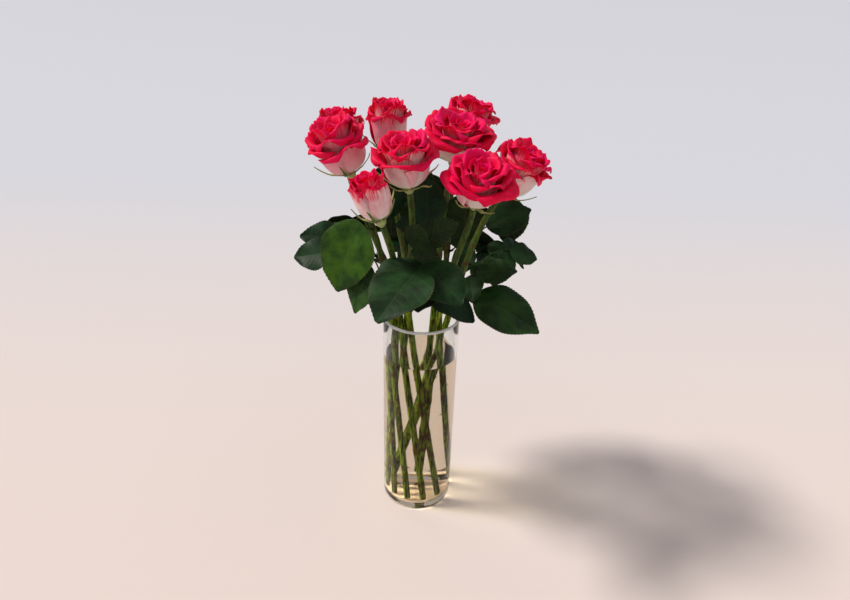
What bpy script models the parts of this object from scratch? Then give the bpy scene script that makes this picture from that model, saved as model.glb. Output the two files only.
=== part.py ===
"""Nine cut roses in a tall glass cylinder vase, part filled with water.

The vase stands on z = 0 with its axis on Z, and the bouquet's front faces -Y. Each stem runs
straight from its foot to the vase's mouth, then bends to its hip, where the sepals, the outer
petals and the furled heart sit on one axis. Compound leaves grow from the stems above the mouth.
"""

import math
from collections import namedtuple

import bmesh
import bpy
from mathutils import Matrix, Vector

# ---- Driving dimensions, in metres ----
VASE_RADIUS = 0.042
VASE_HEIGHT = 0.250
VASE_WALL = 0.0025
VASE_FLOOR = 0.009  # thickness of the glass under the water
VASE_FOOT_ROUND = 0.004  # rounding between the wall and the underside
WATER_LEVEL = 0.202  # height of the water's surface
STEM_RADIUS = 0.0037  # at the foot; a stem thins towards its hip
STEM_TAPER = 0.85  # radius at the hip, as a share of the radius at the foot
HIP_RADIUS = 0.0052
HIP_LENGTH = 0.009
BLOOM_WIDTH = 0.066  # the bouquet above the mouth is laid out in bloom widths
PETAL_THICKNESS = 0.0010
SEPAL_LENGTH = 0.025
SEPAL_WIDTH = 0.0055
SEPAL_SPREAD = 0.12  # how far the sepals of an open bloom leave its cup, from 0, on it, to 1, spread flat
SEPAL_FOOT = (0.5, -0.4)  # start of a sepal: shares of the hip's radius and length
SEPAL_SPREAD_LINE = ((0.2, -0.45), (0.6, -0.25), (1.0, -0.9))  # shares of the sepal's and hip's lengths
SEPAL_WIDTHS = (0.5, 1.0, 0.7)  # towards its point, as shares of SEPAL_WIDTH
LEAFLET_WIDTH_SHARE = 0.80  # a leaflet's width over its length
SIDE_LEAFLET_SHARE = 0.78  # a side leaflet's length over the end one's
SIDE_LEAFLETS_AT = 0.85  # place of the first pair, as a share of the stalk's length
SIDE_LEAFLETS_APART = 0.35  # from one pair to the next, likewise
SIDE_LEAFLET_SWING = 54  # degrees from the leaf's own line
SIDE_LEAFLET_PITCH = 38  # degrees that a pair leans forward, towards the leaf's end
BLADE_OUTLINE = ((0.0, 0.12), (0.18, 0.84), (0.46, 1.0), (0.78, 0.66), (1.0, 0.0))  # (along, half width)
BLADE_DROOP = 0.12  # of the tip, as a share of the leaflet's length
BLADE_FOLD = 0.18  # rise of the edges, as a share of the half width
BLADE_THICKNESS = 0.0008
PETIOLE_RADIUS = 0.0011
CLEARANCE = 0.0004  # between pieces that touch

# ---- Fineness of the faceted solids ----
VASE_SIDES = 40
STEM_RINGS_IN_VASE = 3
STEM_RINGS_ABOVE = 8
PETALS_IN_WHORL = 5
FACETS_PER_PETAL = 4
HIP_SIDES = 8
BOWL_SIDES = 12
LEAF_LINE_RINGS = 5

# hip: top of the hip, in bloom widths from the centre of the mouth.
# faces: direction the bloom looks in.
# mouth, foot: (azimuth in degrees, share of the free radius) at the mouth and on the floor.
# bloom: (width, height), in bloom widths. opening: 0 a bud, 1 full open.
Rose = namedtuple("Rose", "name hip faces mouth foot bloom opening turn")

ROSES = (
    Rose("rose_left", (-1.13, -0.02, 2.38), (-0.34, -0.24, 0.91),
         (186, 0.93), (252, 0.93), (1.00, 0.84), 0.9, 0),
    Rose("rose_back_left", (-0.60, 0.82, 2.53), (-0.03, -0.06, 1.00),
         (128, 0.75), (196, 0.95), (0.74, 0.82), 0.6, 20),
    Rose("rose_front", (-0.23, -0.64, 2.35), (-0.15, -0.22, 0.96),
         (247, 0.85), (316, 0.95), (0.98, 0.74), 0.9, 22),
    Rose("rose_bud_front", (-0.60, -1.12, 2.02), (-0.34, -0.10, 0.93),
         (222, 0.85), (284, 0.95), (0.58, 0.62), 0.25, 10),
    Rose("rose_centre", (0.42, 0.24, 2.55), (0.14, -0.28, 0.95),
         (18, 0.40), (88, 0.90), (1.20, 0.70), 1.0, 55),
    Rose("rose_back_right", (0.60, 1.12, 2.66), (0.26, -0.08, 0.95),
         (48, 0.90), (128, 0.90), (0.96, 0.72), 0.8, 15),
    Rose("rose_front_right", (0.70, -0.71, 2.16), (0.08, -0.42, 0.90),
         (310, 0.85), (12, 0.95), (1.06, 0.72), 1.0, 30),
    Rose("rose_right", (1.18, -0.06, 2.15), (0.48, -0.18, 0.86),
         (348, 0.85), (160, 0.80), (1.00, 0.80), 0.8, 5),
    Rose("rose_bud_back", (-1.33, 0.95, 2.42), (-0.15, 0.02, 0.99),
         (158, 0.93), (222, 0.95), (0.84, 0.76), 0.6, 25),
)

# The cup of outer petals, for a bud and for a full open bloom, from its base to its lip:
# (radius as a share of half the bloom's width, height as a share of the bloom's height).
CUP_BUD = ((0.78, 0.16), (1.00, 0.42), (0.92, 0.72), (0.90, 0.90))
CUP_OPEN = ((0.54, 0.12), (0.72, 0.36), (0.82, 0.60), (1.00, 0.80))
LOBE_DIP = 0.14  # how far the lip dips between two petals, as a share of the bloom's height
LOBE_PINCH = 0.10  # how far it draws in there, as a share of its radius

# The furled heart: one strip that winds out from the middle and stands on a bowl inside the cup.
HEART_TURNS = 2.1
HEART_STEPS = 19
HEART_REACH = (0.12, 0.60)  # radius of its inner and outer end, as a share of half the bloom's width
HEART_TOP = (1.00, 0.86)  # height of its inner and outer end, as a share of the bloom's height
HEART_BASE = 0.34  # height of the bowl's top, as a share of the bloom's height
HEART_WALL = 0.0011

# rose: whose stem it grows from. start: height on that stem. joint, tip: base and tip of the end
# leaflet. All are in bloom widths, from the centre of the mouth. pairs: pairs of side leaflets.
# roll: degrees the blades turn about the leaf's own line, from lying level.
Leaf = namedtuple("Leaf", "name rose start joint tip pairs roll")

LEAVES = (
    Leaf("leaf_left", "rose_left", 0.95, (-1.40, -0.16, 1.12), (-2.05, -0.14, 1.02), 1, -45),
    Leaf("leaf_left_back", "rose_bud_back", 0.75, (-1.30, 0.30, 1.18), (-1.98, 0.22, 1.30), 2, -40),
    Leaf("leaf_left_bright", "rose_left", 1.45, (-0.98, -0.46, 1.76), (-1.30, -0.74, 0.70), 0, -22),
    Leaf("leaf_left_low", "rose_left", 0.50, (-0.80, -0.54, 1.10), (-1.08, -0.82, 0.44), 0, 0),
    Leaf("leaf_front_left", "rose_front", 0.70, (-0.04, -1.26, 1.36), (-0.56, -2.16, 1.10), 1, 0),
    Leaf("leaf_front_top", "rose_front", 1.10, (-0.06, -1.00, 1.62), (0.46, -0.86, 1.92), 1, -75),
    Leaf("leaf_front", "rose_front", 0.30, (0.08, -0.84, 0.90), (0.78, -1.24, 0.62), 1, 0),
    Leaf("leaf_front_right", "rose_front_right", 0.40, (0.78, -0.80, 0.76), (1.73, -1.25, 0.52), 0, 20),
    Leaf("leaf_right_front", "rose_right", 0.55, (0.80, -0.60, 1.02), (1.38, -0.66, 1.18), 1, 30),
    Leaf("leaf_right", "rose_right", 0.95, (1.34, -0.10, 1.22), (1.82, -0.06, 1.08), 2, 35),
    Leaf("leaf_right_top", "rose_right", 1.25, (1.00, 0.30, 1.46), (1.68, 0.34, 1.80), 0, 45),
    Leaf("leaf_right_back", "rose_back_right", 0.50, (1.24, 0.74, 1.00), (1.34, 1.02, 0.16), 2, 0),
    Leaf("leaf_centre", "rose_centre", 1.00, (0.06, 0.06, 1.50), (0.03, 0.14, 2.26), 1, 0),
    Leaf("leaf_centre_left", "rose_back_left", 0.60, (-0.62, 0.34, 1.50), (-0.70, 0.54, 2.34), 0, 0),
    Leaf("leaf_centre_right", "rose_back_right", 0.90, (0.66, 0.38, 1.26), (0.66, 0.26, 2.08), 0, -15),
    Leaf("leaf_middle", "rose_centre", 0.45, (0.62, 0.36, 0.62), (0.74, 0.50, 1.16), 0, 0),
    Leaf("leaf_back", "rose_back_left", 1.20, (-0.60, 1.46, 1.62), (-0.62, 1.72, 0.76), 2, 0),
    Leaf("leaf_back_left", "rose_bud_back", 0.80, (-1.28, 1.08, 1.24), (-1.34, 1.34, 0.40), 2, 0),
    Leaf("leaf_back_right", "rose_back_right", 1.00, (0.70, 1.46, 1.40), (0.70, 1.72, 0.52), 2, 0),
    Leaf("leaf_back_low", "rose_back_left", 0.50, (-0.10, 1.10, 0.96), (-0.10, 1.38, 0.10), 2, 0),
    Leaf("leaf_back_middle", "rose_back_right", 1.60, (0.08, 1.06, 2.10), (0.08, 1.24, 1.40), 0, 0),
    Leaf("leaf_right_far", "rose_back_right", 1.80, (1.36, 0.80, 1.86), (1.48, 1.00, 0.98), 0, 0),
)

Materials = namedtuple("Materials", "glass water stem sepal petal heart leaf")


# ---- Small helpers ----
def clear_scene():
    for thing in list(bpy.data.objects):
        bpy.data.objects.remove(thing, do_unlink=True)


def new_collection(name):
    made = bpy.data.collections.new(name)
    bpy.context.scene.collection.children.link(made)
    return made


def new_material(name, colour, roughness, transmission=0.0):
    made = bpy.data.materials.new(name)
    made.use_nodes = True
    shader = made.node_tree.nodes["Principled BSDF"]
    shader.inputs["Base Color"].default_value = (*colour, 1.0)
    shader.inputs["Roughness"].default_value = roughness
    shader.inputs["Metallic"].default_value = 0.0
    shader.inputs["Transmission Weight"].default_value = transmission
    made.diffuse_color = (*colour, 1.0)
    return made


def new_object(name, data, home, material=None, parent=None):
    made = bpy.data.objects.new(name, data)
    home.objects.link(made)
    if material:
        data.materials.append(material)
    made.parent = parent
    return made


def polar(azimuth, radius, height):
    turn = math.radians(azimuth)
    return Vector((radius * math.cos(turn), radius * math.sin(turn), height))


def mix(a, b, share):
    return a + (b - a) * share


def hermite(start, leaving, end, arriving, s):
    return (
        start * (2 * s**3 - 3 * s**2 + 1)
        + leaving * (s**3 - 2 * s**2 + s)
        + end * (3 * s**2 - 2 * s**3)
        + arriving * (s**3 - s**2)
    )


def in_bouquet(place):
    return Vector(place) * BLOOM_WIDTH + Vector((0, 0, VASE_HEIGHT))


def lofted(rows, closed):
    """A mesh of quads between rows of points. A row of one point is the tip of a fan."""
    shape = bmesh.new()
    made = [[shape.verts.new(point) for point in row] for row in rows]
    for low, high in zip(made, made[1:]):
        count = max(len(low), len(high))
        for i in range(count if closed else count - 1):
            j = (i + 1) % count
            corners = [low[i % len(low)], low[j % len(low)], high[j % len(high)], high[i % len(high)]]
            shape.faces.new(list(dict.fromkeys(corners)))
    return shape


def finished(shape, name):
    bmesh.ops.recalc_face_normals(shape, faces=shape.faces)
    mesh = bpy.data.meshes.new(name)
    shape.to_mesh(mesh)
    shape.free()
    return mesh


def thicken(made, thickness, offset):
    shell = made.modifiers.new("Thickness", "SOLIDIFY")
    shell.thickness = thickness
    shell.offset = offset
    return made


def tube(name, points, radii, home, material=None, resolution=2):
    """A round bar through the points, as a curve with a bevel and flat ends."""
    curve = bpy.data.curves.new(name, "CURVE")
    curve.dimensions = "3D"
    curve.bevel_depth = 1.0
    curve.bevel_resolution = resolution
    curve.use_fill_caps = True
    line = curve.splines.new("POLY")
    line.points.add(len(points) - 1)
    for place, point, radius in zip(line.points, points, radii):
        place.co = (*point, 1.0)
        place.radius = radius
    return new_object(name, curve, home, material)


def as_mesh(made, name):
    """The object's evaluated shape as a plain mesh, with a curve's caps welded to its sides."""
    bpy.context.view_layer.update()
    graph = bpy.context.evaluated_depsgraph_get()
    mesh = bpy.data.meshes.new_from_object(made.evaluated_get(graph))
    mesh.name = name
    shape = bmesh.new()
    shape.from_mesh(mesh)
    bmesh.ops.remove_doubles(shape, verts=shape.verts, dist=1e-6)
    bmesh.ops.recalc_face_normals(shape, faces=shape.faces)
    shape.to_mesh(mesh)
    shape.free()
    mesh.transform(made.matrix_world)
    return mesh


def combined(name, body, others, home, material, operation="UNION"):
    """One mesh object made of body and the others, which are used up."""
    helpers = bpy.data.collections.new(name + "_helpers")
    bpy.context.scene.collection.children.link(helpers)
    pieces = [bpy.data.objects.new(name + "_helper", mesh) for mesh in others]
    for piece in pieces:
        helpers.objects.link(piece)
    base = new_object(name + "_body", body, home)
    cut = base.modifiers.new("Combine", "BOOLEAN")
    cut.operation = operation
    cut.solver = "EXACT"
    cut.operand_type = "COLLECTION"
    cut.collection = helpers
    cut.use_self = operation == "UNION"
    mesh = as_mesh(base, name)
    for used in [base, *pieces]:
        bpy.data.objects.remove(used, do_unlink=True)
    bpy.data.collections.remove(helpers)
    mesh.materials.clear()
    return new_object(name, mesh, home, material)


# ---- The vase and its water ----
def vase(home, material):
    """A turned glass: thick floor, thin wall and a rounded rim, profile from the floor's centre."""
    inner = VASE_RADIUS - VASE_WALL
    rim = VASE_WALL / 2
    profile = [(0.0, VASE_FLOOR), (inner - rim, VASE_FLOOR), (inner, VASE_FLOOR + rim)]
    for step in range(5):
        angle = math.pi * (1 - step / 4)
        profile.append(
            (VASE_RADIUS - rim + rim * math.cos(angle), VASE_HEIGHT - rim + rim * math.sin(angle))
        )
    for step in range(4):
        angle = math.pi / 2 * step / 3
        centre = VASE_RADIUS - VASE_FOOT_ROUND
        profile.append(
            (centre + VASE_FOOT_ROUND * math.cos(angle), VASE_FOOT_ROUND * (1 - math.sin(angle)))
        )
    profile.append((0.0, 0.0))
    shape = bmesh.new()
    points = [shape.verts.new((x, 0.0, z)) for x, z in profile]
    for low, high in zip(points, points[1:]):
        shape.edges.new((low, high))
    mesh = bpy.data.meshes.new("vase")
    shape.to_mesh(mesh)
    shape.free()
    made = new_object("vase", mesh, home, material)
    turned = made.modifiers.new("Turn", "SCREW")
    turned.steps = turned.render_steps = VASE_SIDES
    turned.use_merge_vertices = True
    turned.merge_threshold = 0.00001
    return made


def water(home, material, stem_lines):
    """The water fills the vase to its level, less the channels that the stems stand in."""
    radius = VASE_RADIUS - VASE_WALL - CLEARANCE
    low = VASE_FLOOR + VASE_WALL
    shape = bmesh.new()
    bmesh.ops.create_cone(
        shape, cap_ends=True, segments=VASE_SIDES, radius1=radius, radius2=radius, depth=WATER_LEVEL - low
    )
    bmesh.ops.translate(shape, verts=shape.verts, vec=(0, 0, (WATER_LEVEL + low) / 2))
    body = finished(shape, "water")
    channels = []
    for points, radii in stem_lines:
        below = points[0] + (points[0] - points[1]).normalized() * VASE_FLOOR
        wider = [radius + CLEARANCE for radius in radii]
        line = tube("channel", [below, *points[1:]], wider, home)
        channels.append(as_mesh(line, "channel"))
        bpy.data.objects.remove(line, do_unlink=True)
    return combined("water", body, channels, home, material, "DIFFERENCE")


# ---- One rose ----
def hip_frame(rose):
    """The frame of a rose's bloom: origin on top of its hip, Z the way the bloom faces."""
    place = in_bouquet(rose.hip)
    turn = Vector(rose.faces).to_track_quat("Z", "Y").to_matrix().to_4x4()
    return Matrix.Translation(place) @ turn @ Matrix.Rotation(math.radians(rose.turn), 4, "Z")


def stem_line(rose):
    """(points, radii) of a stem: straight from its foot to the mouth, then one smooth bend to its hip."""
    free = VASE_RADIUS - VASE_WALL - STEM_RADIUS - 2 * CLEARANCE
    foot_azimuth, foot_share = rose.foot
    mouth_azimuth, mouth_share = rose.mouth
    foot = polar(foot_azimuth, free * foot_share, VASE_FLOOR + STEM_RADIUS)
    mouth = polar(mouth_azimuth, free * mouth_share, VASE_HEIGHT)
    frame = hip_frame(rose)
    faces = frame.to_3x3() @ Vector((0, 0, 1))
    top = frame.translation - faces * (HIP_LENGTH + 2 * CLEARANCE)
    reach = (top - mouth).length
    leaving = (mouth - foot).normalized() * reach
    arriving = faces.normalized() * reach
    points = [foot.lerp(mouth, i / STEM_RINGS_IN_VASE) for i in range(STEM_RINGS_IN_VASE)]
    for i in range(STEM_RINGS_ABOVE + 1):
        points.append(hermite(mouth, leaving, top, arriving, i / STEM_RINGS_ABOVE))
    last = len(points) - 1
    radii = [STEM_RADIUS * mix(1.0, STEM_TAPER, i / last) for i in range(last + 1)]
    return points, radii


def cup_profile(rose):
    """(radius, height) down the outside of the cup of outer petals, from its base to its rim."""
    width, height = (share * BLOOM_WIDTH for share in rose.bloom)
    rings = [(HIP_RADIUS, CLEARANCE)]
    for bud, full in zip(CUP_BUD, CUP_OPEN):
        rings.append(
            (
                mix(bud[0], full[0], rose.opening) * width / 2,
                mix(bud[1], full[1], rose.opening) * height,
            )
        )
    return rings


def outer_petals(rose, home, material, parent):
    """The cup of outer petals, whose rim dips and draws in between one petal and the next."""
    count = PETALS_IN_WHORL * FACETS_PER_PETAL
    height = rose.bloom[1] * BLOOM_WIDTH
    profile = cup_profile(rose)
    rows = []
    for ring, (radius, level) in enumerate(profile):
        share = (ring / (len(profile) - 1)) ** 2
        row = []
        for i in range(count):
            gap = 1 - abs(math.sin(math.pi * i / FACETS_PER_PETAL))
            row.append(
                polar(
                    360 * i / count,
                    radius * (1 - LOBE_PINCH * gap * share),
                    level - LOBE_DIP * height * gap * share,
                )
            )
        rows.append(row)
    mesh = finished(lofted(rows, closed=True), rose.name + "_petals")
    made = new_object(rose.name + "_petals", mesh, home, material, parent)
    return thicken(made, PETAL_THICKNESS, -1.0)


def heart(rose, home, material, parent):
    """The furled inner petals: a winding strip with a rising lip, standing on a bowl in the cup."""
    width, height = (share * BLOOM_WIDTH for share in rose.bloom)
    cup = cup_profile(rose)
    gap = PETAL_THICKNESS + 2 * CLEARANCE
    deep, rim = cup[1], cup[2]
    up = (HEART_BASE * height - deep[1]) / (rim[1] - deep[1])
    rings = (
        (cup[0][0] - gap, gap),
        (deep[0] * 0.97 - gap, deep[1] + gap),
        (mix(deep[0], rim[0], up) * 0.94 - gap, HEART_BASE * height),
    )
    rows = [[Vector((0, 0, rings[0][1]))]]
    for radius, level in rings:
        rows.append([polar(360 * i / BOWL_SIDES, radius, level) for i in range(BOWL_SIDES)])
    rows.append([Vector((0, 0, HEART_BASE * height))])
    bowl = finished(lofted(rows, closed=True), "bowl")
    rows = [[], [], []]
    for i in range(HEART_STEPS + 1):
        share = i / HEART_STEPS
        azimuth = 360 * HEART_TURNS * share
        reach = mix(*HEART_REACH, share) * width / 2
        top = mix(*HEART_TOP, share) * height
        rows[0].append(polar(azimuth, reach * 0.92, HEART_BASE * height * 0.8))
        rows[1].append(polar(azimuth, reach * 1.06, mix(HEART_BASE * height, top, 0.55)))
        rows[2].append(polar(azimuth, reach, top))
    strip = new_object("strip", finished(lofted(rows, closed=False), "strip"), home)
    thicken(strip, HEART_WALL, 0.0)
    wound = as_mesh(strip, "strip")
    bpy.data.objects.remove(strip, do_unlink=True)
    made = combined(rose.name + "_heart", bowl, [wound], home, material)
    made.parent = parent
    return made


def sepal_mesh(rose, azimuth):
    """One sepal: a three-sided spike that hugs a bud, or spreads under an open bloom."""
    cup = cup_profile(rose)
    off = PETAL_THICKNESS + SEPAL_WIDTH / 3
    foot = (HIP_RADIUS * SEPAL_FOOT[0], HIP_LENGTH * SEPAL_FOOT[1])
    hug = [foot, (cup[1][0] * 0.6 + off, cup[1][1] * 0.3 - off)]
    hug += [(cup[1][0] + 1.5 * off, cup[1][1]), (cup[2][0] + 1.5 * off, cup[2][1] * 1.1)]
    spread = [foot]
    for out, up in SEPAL_SPREAD_LINE:
        spread.append((HIP_RADIUS + SEPAL_LENGTH * out, HIP_LENGTH * up))
    line = [
        (mix(hug_r, open_r, SEPAL_SPREAD * rose.opening), mix(hug_z, open_z, SEPAL_SPREAD * rose.opening))
        for (hug_r, hug_z), (open_r, open_z) in zip(hug, spread)
    ]
    rows = []
    for (radius, level), share in zip(line, SEPAL_WIDTHS):
        half = SEPAL_WIDTH / 2 * share
        rows.append(
            [
                Vector((radius, -half, level)),
                Vector((radius + half * 0.5, 0, level - half * 0.5)),
                Vector((radius, half, level)),
            ]
        )
    rows.append([Vector((line[-1][0], 0, line[-1][1]))])
    shape = lofted(rows, closed=True)
    shape.verts.ensure_lookup_table()
    shape.faces.new(shape.verts[:3])
    mesh = finished(shape, "sepal")
    mesh.transform(Matrix.Rotation(math.radians(azimuth), 4, "Z"))
    return mesh


def calyx(rose, home, material, parent):
    """The hip on the stem's top with its five sepals."""
    rings = ((0.55, -1.0), (1.0, -0.55), (0.95, -0.15), (0.75, 0.0))
    rows = [[Vector((0, 0, -HIP_LENGTH))]]
    for radius, level in rings:
        rows.append(
            [polar(360 * i / HIP_SIDES, radius * HIP_RADIUS, level * HIP_LENGTH) for i in range(HIP_SIDES)]
        )
    rows.append([Vector((0, 0, 0))])
    body = finished(lofted(rows, closed=True), "hip")
    sepals = [sepal_mesh(rose, 360 / PETALS_IN_WHORL * (i + 0.5)) for i in range(PETALS_IN_WHORL)]
    made = combined(rose.name + "_calyx", body, sepals, home, material)
    made.parent = parent
    return made


# ---- One compound leaf ----
def petiole_line(leaf, stems):
    """The leaf's stalk, from the side of its stem to its end leaflet, as a function of 0 to 1."""
    points, radii = stems[leaf.rose]
    height = VASE_HEIGHT + leaf.start * BLOOM_WIDTH
    above = next(i for i, point in enumerate(points) if point.z > height)
    low, high = points[above - 1], points[above]
    centre = low.lerp(high, (height - low.z) / (high.z - low.z))
    along = (high - low).normalized()
    joint, tip = in_bouquet(leaf.joint), in_bouquet(leaf.tip)
    outward = joint - centre
    outward = (outward - along * outward.dot(along)).normalized()
    start = centre + outward * (radii[above - 1] + PETIOLE_RADIUS / 2 + CLEARANCE)
    reach = (joint - start).length
    leaving = (outward + along * 0.6).normalized() * reach
    arriving = (tip - joint).normalized() * reach
    return lambda s: hermite(start, leaving, joint, arriving, s)


def blade_mesh(base, along, normal, length):
    """One leaflet's blade: a folded, drooping surface from its base to its tip."""
    side = normal.cross(along).normalized()
    half = length * LEAFLET_WIDTH_SHARE / 2
    rows = []
    for v, share in BLADE_OUTLINE:
        middle = base + along * length * v - normal * length * BLADE_DROOP * v * v
        edge = side * half * share
        lift = normal * half * share * BLADE_FOLD
        rows.append([middle - edge + lift, middle, middle + edge + lift] if share else [middle])
    return finished(lofted(rows, closed=False), "blade")


def leaflets(leaf, at):
    """(base, direction, normal, length) of the end leaflet, then of each side leaflet."""
    joint, tip = in_bouquet(leaf.joint), in_bouquet(leaf.tip)
    places = [(joint, tip - joint, 0, 1.0)]
    for pair in range(leaf.pairs):
        for hand in (1, -1):
            share = SIDE_LEAFLETS_AT - SIDE_LEAFLETS_APART * pair + 0.02 * hand
            ahead = at(share + 0.02) - at(share - 0.02)
            places.append((at(share), ahead, hand, SIDE_LEAFLET_SHARE))
    found = []
    for base, ahead, hand, size in places:
        ahead = ahead.normalized()
        level = ahead.cross(Vector((0, 0, 1))).normalized()
        if hand:
            ahead = Matrix.Rotation(math.radians(-SIDE_LEAFLET_PITCH), 3, level) @ ahead
        normal = Matrix.Rotation(math.radians(leaf.roll), 3, ahead) @ level.cross(ahead)
        along = Matrix.Rotation(math.radians(SIDE_LEAFLET_SWING * hand), 3, normal) @ ahead
        found.append((base, along, normal, (tip - joint).length * size))
    return found


def leaf_piece(leaf, stems, home, material):
    """A compound leaf: its stalk joined with the blades of all its leaflets."""
    at = petiole_line(leaf, stems)
    blades = []
    for place in leaflets(leaf, at):
        flat = new_object("blade", blade_mesh(*place), home)
        thicken(flat, BLADE_THICKNESS, 0.0)
        blades.append(as_mesh(flat, "blade"))
        bpy.data.objects.remove(flat, do_unlink=True)
    points = [at(i / (LEAF_LINE_RINGS - 1)) for i in range(LEAF_LINE_RINGS)]
    joint, tip = in_bouquet(leaf.joint), in_bouquet(leaf.tip)
    points.append(joint + (tip - joint).normalized() * 3 * PETIOLE_RADIUS)
    line = tube("petiole", points, [PETIOLE_RADIUS] * len(points), home, resolution=1)
    body = as_mesh(line, "petiole")
    bpy.data.objects.remove(line, do_unlink=True)
    return combined(leaf.name, body, blades, home, material)


def build():
    clear_scene()
    home = new_collection("roses_in_vase")
    look = Materials(
        glass=new_material("glass", (0.93, 0.95, 0.94), 0.02, 1.0),
        water=new_material("water", (0.90, 0.92, 0.88), 0.02, 1.0),
        stem=new_material("stem", (0.16, 0.30, 0.06), 0.45),
        sepal=new_material("sepal", (0.22, 0.36, 0.10), 0.50),
        petal=new_material("petal", (0.80, 0.03, 0.12), 0.45),
        heart=new_material("heart", (0.72, 0.04, 0.18), 0.45),
        leaf=new_material("leaf", (0.03, 0.11, 0.03), 0.38),
    )
    stems = {rose.name: stem_line(rose) for rose in ROSES}
    vase(home, look.glass)
    water(home, look.water, stems.values())
    for rose in ROSES:
        frame = bpy.data.objects.new(rose.name, None)
        frame.matrix_world = hip_frame(rose)
        home.objects.link(frame)
        points, radii = stems[rose.name]
        tube(rose.name + "_stem", points, radii, home, look.stem)
        calyx(rose, home, look.sepal, frame)
        outer_petals(rose, home, look.petal, frame)
        heart(rose, home, look.heart, frame)
    for leaf in LEAVES:
        leaf_piece(leaf, stems, home, look.leaf)


build()
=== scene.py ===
"""The looks of nine cut roses in a glass cylinder vase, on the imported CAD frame.

Petals, sepals and leaflets are thin closed shells with numbers on their points: across (-1 to 1),
along (0 at the base to 1 at the tip), side (0 on the upper face, 1 on the back), and tone (a value
for each petal or leaf). The materials read those numbers.
"""

import math
from collections import namedtuple

import bpy
import numpy as np
from mathutils import Matrix, Vector


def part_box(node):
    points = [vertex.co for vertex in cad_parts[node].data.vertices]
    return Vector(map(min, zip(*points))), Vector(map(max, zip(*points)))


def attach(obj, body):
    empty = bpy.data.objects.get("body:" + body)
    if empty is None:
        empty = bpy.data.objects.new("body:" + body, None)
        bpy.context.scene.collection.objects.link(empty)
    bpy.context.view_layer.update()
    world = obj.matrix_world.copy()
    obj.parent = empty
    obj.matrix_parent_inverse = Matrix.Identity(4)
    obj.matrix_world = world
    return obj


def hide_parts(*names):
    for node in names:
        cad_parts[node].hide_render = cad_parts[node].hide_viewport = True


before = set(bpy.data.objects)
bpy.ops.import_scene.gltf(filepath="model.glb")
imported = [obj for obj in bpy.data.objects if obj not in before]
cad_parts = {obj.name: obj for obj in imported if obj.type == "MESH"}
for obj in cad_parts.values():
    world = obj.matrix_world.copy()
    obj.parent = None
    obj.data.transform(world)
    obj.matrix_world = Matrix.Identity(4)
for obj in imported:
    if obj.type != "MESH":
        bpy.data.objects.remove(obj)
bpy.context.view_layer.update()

# ---- The layout, as in the CAD ----
BLOOM = 0.066  # the bouquet above the mouth is laid out in bloom widths
VASE_WALL = 0.0025
VASE_FLOOR = 0.009
FOOT_ROUND = 0.004
STEM_RADIUS = 0.0037
STEM_TAPER = 0.85
HIP_RADIUS = 0.0052
HIP_LENGTH = 0.009
SEPAL_LENGTH = 0.025
SEPAL_WIDTH = 0.0055
SEPAL_SPREAD = 0.12
CLEARANCE = 0.0004
LEAFLET_WIDTH_SHARE = 0.80
SIDE_LEAFLET_SHARE = 0.78
SIDE_LEAFLETS_AT = 0.85
SIDE_LEAFLETS_APART = 0.35
SIDE_LEAFLET_SWING = 54
SIDE_LEAFLET_PITCH = 38
PETIOLE_RADIUS = 0.0011
STEM_RINGS_IN_VASE = 3
STEM_RINGS_ABOVE = 8

# ---- What the looks add ----
PETAL_SHEET = 0.00035
SEPAL_SHEET = 0.00045
BLADE_SHEET = 0.00045
STIPULE_SHEET = 0.0003
VASE_SIDES = 144
STEM_STEPS = 110  # along a stem
PETAL_COLUMNS = 25
PETAL_ROWS = 31
BOWL_END = 0.42  # where a petal's bowl ends and its wall starts, as a share of its length
SIDE_VEINS = 9  # on each half of a leaflet
VEIN_SLANT = 0.20  # how far they run forward, as a share of the leaflet's length
TOOTH = 0.0028  # length of one tooth of a leaflet's edge
SEPALS = 5
THORNS = 7  # on each stem
GOLDEN = 137.5  # degrees from one petal to the next
SUN_AZIMUTH = 175  # degrees, where the key light comes from
SUN_HEIGHT = 50  # degrees above the floor
FLOOR_FRONT, FLOOR_BACK, FLOOR_HALF_WIDTH = -3.0, 11.0, 9.0
FLOOR_RISES_FROM = 2.0  # metres behind the vase
CAMERA_PLACE = (0.0013, -0.5516, 0.5378)
CAMERA_PITCH, CAMERA_YAW, CAMERA_ROLL = 26.09, 0.22, 1.82  # degrees
CAMERA_LENS = 23.89  # mm, on a sensor 36 mm wide
GLASS_BEND = 1.45  # refractive index
WATER_BEND = 1.19  # lower than real water's 1.33, which turns the sides of its surface dark

MOUTH = Vector((0, 0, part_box("vase")[1].z))
VASE_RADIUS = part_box("vase")[1].x
WATER_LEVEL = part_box("water")[1].z

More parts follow.
